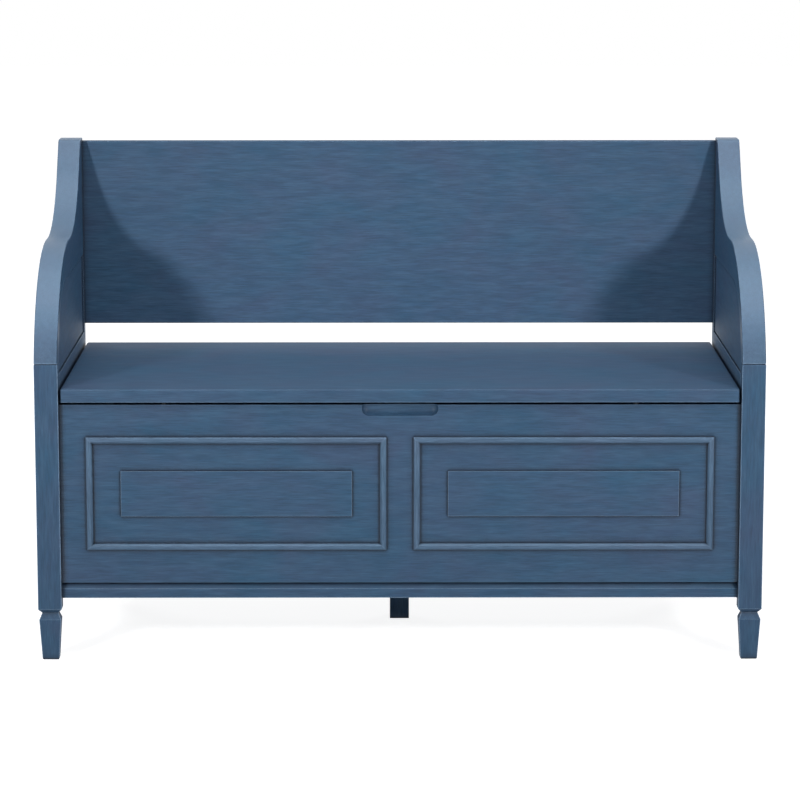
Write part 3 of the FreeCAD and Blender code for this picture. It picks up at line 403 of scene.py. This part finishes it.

# %% [markdown]
# ### One recipe, several hands
# The steps above make one paint step by step. Boards get it as it is. Arms get a painted highlight
# on their upper faces and a glossier finish. The front panel lies sheltered under the lid's edge,
# keeps its edges and has glaze pooled smooth in the finger pull. Mouldings get a painted highlight
# along their streaks, and their tops a little more.


# %% Mix the glazes
def glaze_paint(name, grain, rubbed_edges=0.75, streak_highlight_share=0.0, top_highlight_share=0.0, roughness=(0.58, 0.70),
                pooled_roughness=0.50):
    """Brushed satin glaze with streaks along X, Y or Z, rubbed on edges, with painted shade in corners
    and painted highlights along the streaks and on tops.
    """
    paint = empty_material(name)
    tree = paint.node_tree
    place = add_node(tree, "ShaderNodeTexCoord").outputs["Object"]
    normal = add_node(tree, "ShaderNodeNewGeometry").outputs["Normal"]
    colour, streak = brushed_colour(tree, place, grain)
    # painted highlights along the streaks and on upward faces
    if streak_highlight_share:
        colour = streak_highlight_colour(tree, colour, streak, streak_highlight_share)
    if top_highlight_share:
        colour = top_highlight_colour(tree, colour, normal, top_highlight_share)
    # painted shade in corners and joints
    colour, hollow, crack = painted_corner_shade(tree, colour)
    colour, rubbed = rubbed_colour(tree, colour, crack, normal, rubbed_edges)
    dried_glaze(tree, colour, streak, hollow, rubbed, roughness, pooled_roughness)
    return paint


GLAZE = {grain: glaze_paint(f"navy_glaze_on_wood_{grain.lower()}", grain) for grain in "XYZ"}
# arms: painted highlight on their upper faces
ARM_GLAZE = glaze_paint("arm_glaze_with_painted_highlight", "Y", rubbed_edges=0.40, top_highlight_share=0.30,
                        roughness=(0.38, 0.48))
PANEL_GLAZE = glaze_paint("sheltered_navy_glaze", "X", rubbed_edges=0.10, pooled_roughness=0.19)
PLAQUE_GLAZE = glaze_paint("plaque_navy_glaze", "X", rubbed_edges=0.45)
# beads: painted highlight along the streaks and on their tops
BEAD_GLAZE = {grain: glaze_paint(f"bead_glaze_with_painted_highlight_{grain.lower()}", grain, rubbed_edges=0.15,
                                 streak_highlight_share=0.16, top_highlight_share=0.20) for grain in "XZ"}
print("glaze materials:", [m.name for m in bpy.data.materials if "glaze" in m.name])

# %% [markdown]
# ## Which way each board runs
# Wood is cut so that the grain follows the long side of each piece, and the brush follows the
# grain. The direction could be read from every mesh, but a joiner would simply know it: boards and
# long mouldings run across the bench, legs and short mouldings stand up, side pieces run back.

# %% Paint the wooden pieces
STANDING = ("leg", "post", "batten", "bead_left", "bead_right")
GOING_BACK = ("arm", "seat_rail", "base_rail", "upper_panel", "lower_panel", "cleat",
              "left_floor_ledger", "right_floor_ledger", "bearer")


def grain_of(name):
    if any(word in name for word in STANDING):
        return "Z"
    return "Y" if any(word in name for word in GOING_BACK) else "X"


def dress(name, finish):
    for slot in bpy.data.objects[name].material_slots:
        slot.material = finish


for name in WOOD:
    dress(name, GLAZE[grain_of(name)])
dress("front_panel", PANEL_GLAZE)
for hand, _ in SIDES:
    dress(f"{hand}_arm", ARM_GLAZE)
    dress(f"{hand}_plaque", PLAQUE_GLAZE)
    for place_name in ("bottom", "right", "top", "left"):
        bead = f"{hand}_bead_{place_name}"
        dress(bead, BEAD_GLAZE[grain_of(bead)])
print("standing:", [name for name in WOOD if grain_of(name) == "Z"])

# %% [markdown]
# ## Plated steel hinges and screws
# Butt hinges and wood screws are stamped and rolled from steel and then plated. The plating is
# thin and slightly uneven, so it is a metal with stains about 8 mm wide and a grit of about 1 mm
# in its gloss. A mirror-smooth metal would look like jewellery.

# %% Hinge and screw plating
STAINS_PER_METRE = 120.0
GRIT_PER_METRE = 900.0
GLOSS_VARIES = 0.07


def plated_steel(name, light, dark, roughness):
    """Plated steel with stains between two tones and grit in its gloss."""
    metal = empty_material(name)
    tree = metal.node_tree
    place = add_node(tree, "ShaderNodeTexCoord").outputs["Object"]
    grit = add_node(tree, "ShaderNodeTexNoise", Scale=GRIT_PER_METRE, Detail=3.0,
                    Vector=place).outputs["Fac"]
    stain = add_node(tree, "ShaderNodeTexNoise", Scale=STAINS_PER_METRE, Detail=2.0,
                     Vector=place).outputs["Fac"]
    colour = add_node(tree, "ShaderNodeMix", {"data_type": "RGBA"}, i0=stain, i6=linear(dark),
                      i7=linear(light)).outputs[2]
    gloss = add_node(tree, "ShaderNodeMapRange", Value=grit, From_Min=0.3, From_Max=0.7,
                     To_Min=roughness - GLOSS_VARIES, To_Max=roughness + GLOSS_VARIES).outputs[0]
    relief = add_node(tree, "ShaderNodeBump", Strength=0.2, Distance=0.00005, Height=grit).outputs[0]
    skin = add_node(tree, "ShaderNodeBsdfPrincipled", Base_Color=colour, Metallic=1.0,
                    Roughness=gloss, Normal=relief)
    add_node(tree, "ShaderNodeOutputMaterial", Surface=skin.outputs[0])
    return metal


hinge_plating = plated_steel("antique_brass_plated_steel", "#8C7B5A", "#5E513A", 0.38)
screw_plating = plated_steel("zinc_plated_screw_steel", "#B9B7AE", "#8E8C84", 0.30)
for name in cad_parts:
    if "screw" in name:
        dress(name, screw_plating)
    elif "hinge" in name:
        dress(name, hinge_plating)
print("plated pieces:", sum("hinge" in name or "screw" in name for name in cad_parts))

# %% [markdown]
# ## Beech dowels
# The dowels are hidden in their holes, but they are real pieces and show when the model is taken
# apart. Turned beech has short brown flecks, about 0.8 mm wide and 4 mm long. Rings could be
# added, but on a pin as thin as a pencil only the flecks can be seen.

# %% Beech
FLECK_MM, FLECK_LENGTH_MM = 0.8, 4

beech = empty_material("turned_beech")
tree = beech.node_tree
place = add_node(tree, "ShaderNodeTexCoord").outputs["Object"]
fleck = add_node(tree, "ShaderNodeTexNoise", Detail=2.0, Scale=1.0,
                 Vector=stretched(tree, place, "X", FLECK_MM, FLECK_LENGTH_MM)).outputs["Fac"]
brown = add_node(tree, "ShaderNodeMapRange", Value=fleck, From_Min=0.45, From_Max=0.7).outputs[0]
tone = add_node(tree, "ShaderNodeMix", {"data_type": "RGBA"}, i0=brown, i6=linear("#D2A878"),
                i7=linear("#A8794A")).outputs[2]
relief = add_node(tree, "ShaderNodeBump", Strength=0.2, Distance=0.0001, Height=fleck).outputs[0]
skin = add_node(tree, "ShaderNodeBsdfPrincipled", Base_Color=tone, Roughness=0.6, Normal=relief)
add_node(tree, "ShaderNodeOutputMaterial", Surface=skin.outputs[0])

PINS = [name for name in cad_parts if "dowel" in name or "peg" in name]
for name in PINS:
    dress(name, beech)
print("beech pieces:", len(PINS))

# %% [markdown]
# ## Rubber buttons
# The buttons that the lid closes on are moulded rubber, black and dull, with dust in the skin that
# the mould left. One flat black would do from afar, but it reads as a hole when the lid is open.

# %% Rubber
DUST_PER_METRE = 1500.0

rubber = empty_material("moulded_black_rubber")
tree = rubber.node_tree
place = add_node(tree, "ShaderNodeTexCoord").outputs["Object"]
dust = add_node(tree, "ShaderNodeTexNoise", Scale=DUST_PER_METRE, Detail=2.0,
                Vector=place).outputs["Fac"]
tone = add_node(tree, "ShaderNodeMix", {"data_type": "RGBA"}, i0=dust, i6=linear("#1A1A1A"),
                i7=linear("#2A2A2A")).outputs[2]
relief = add_node(tree, "ShaderNodeBump", Strength=0.3, Distance=0.00005, Height=dust).outputs[0]
skin = add_node(tree, "ShaderNodeBsdfPrincipled", Base_Color=tone, Roughness=0.75, Normal=relief)
add_node(tree, "ShaderNodeOutputMaterial", Surface=skin.outputs[0])
dress("lid_bumpers", rubber)
print("rubber dust:", round(1000 / DUST_PER_METRE, 2), "mm")
